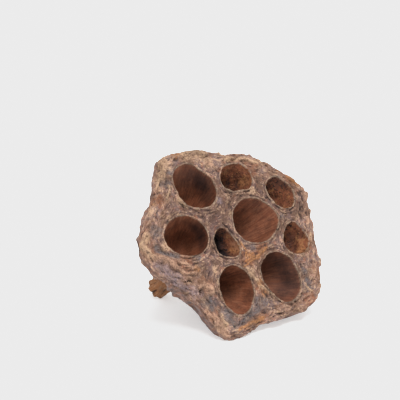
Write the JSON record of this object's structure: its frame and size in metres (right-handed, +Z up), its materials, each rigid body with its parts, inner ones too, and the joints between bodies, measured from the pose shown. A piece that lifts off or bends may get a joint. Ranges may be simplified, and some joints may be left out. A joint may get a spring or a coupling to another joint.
{
  "type": "dried lotus pod",
  "caption": "Dried lotus seed head: a broad funnel of husk with open seed cells in its crumpled face, a fluted back and a short stem stub, lying on its rim and stem.",
  "frame": {"origin": "on the surface the pod lies on, at the bottom centre of its bounding box", "axes": "+X across the face to the pod's right, +Y from the face towards the stem, +Z up"},
  "size_m": [0.0646, 0.0494, 0.0541],
  "materials": {
    "husk": "dull dried husk, tan to dark brown"
  },
  "bodies": {
    "root": {"lotus_pod": "husk"}
  },
  "joints": []
}
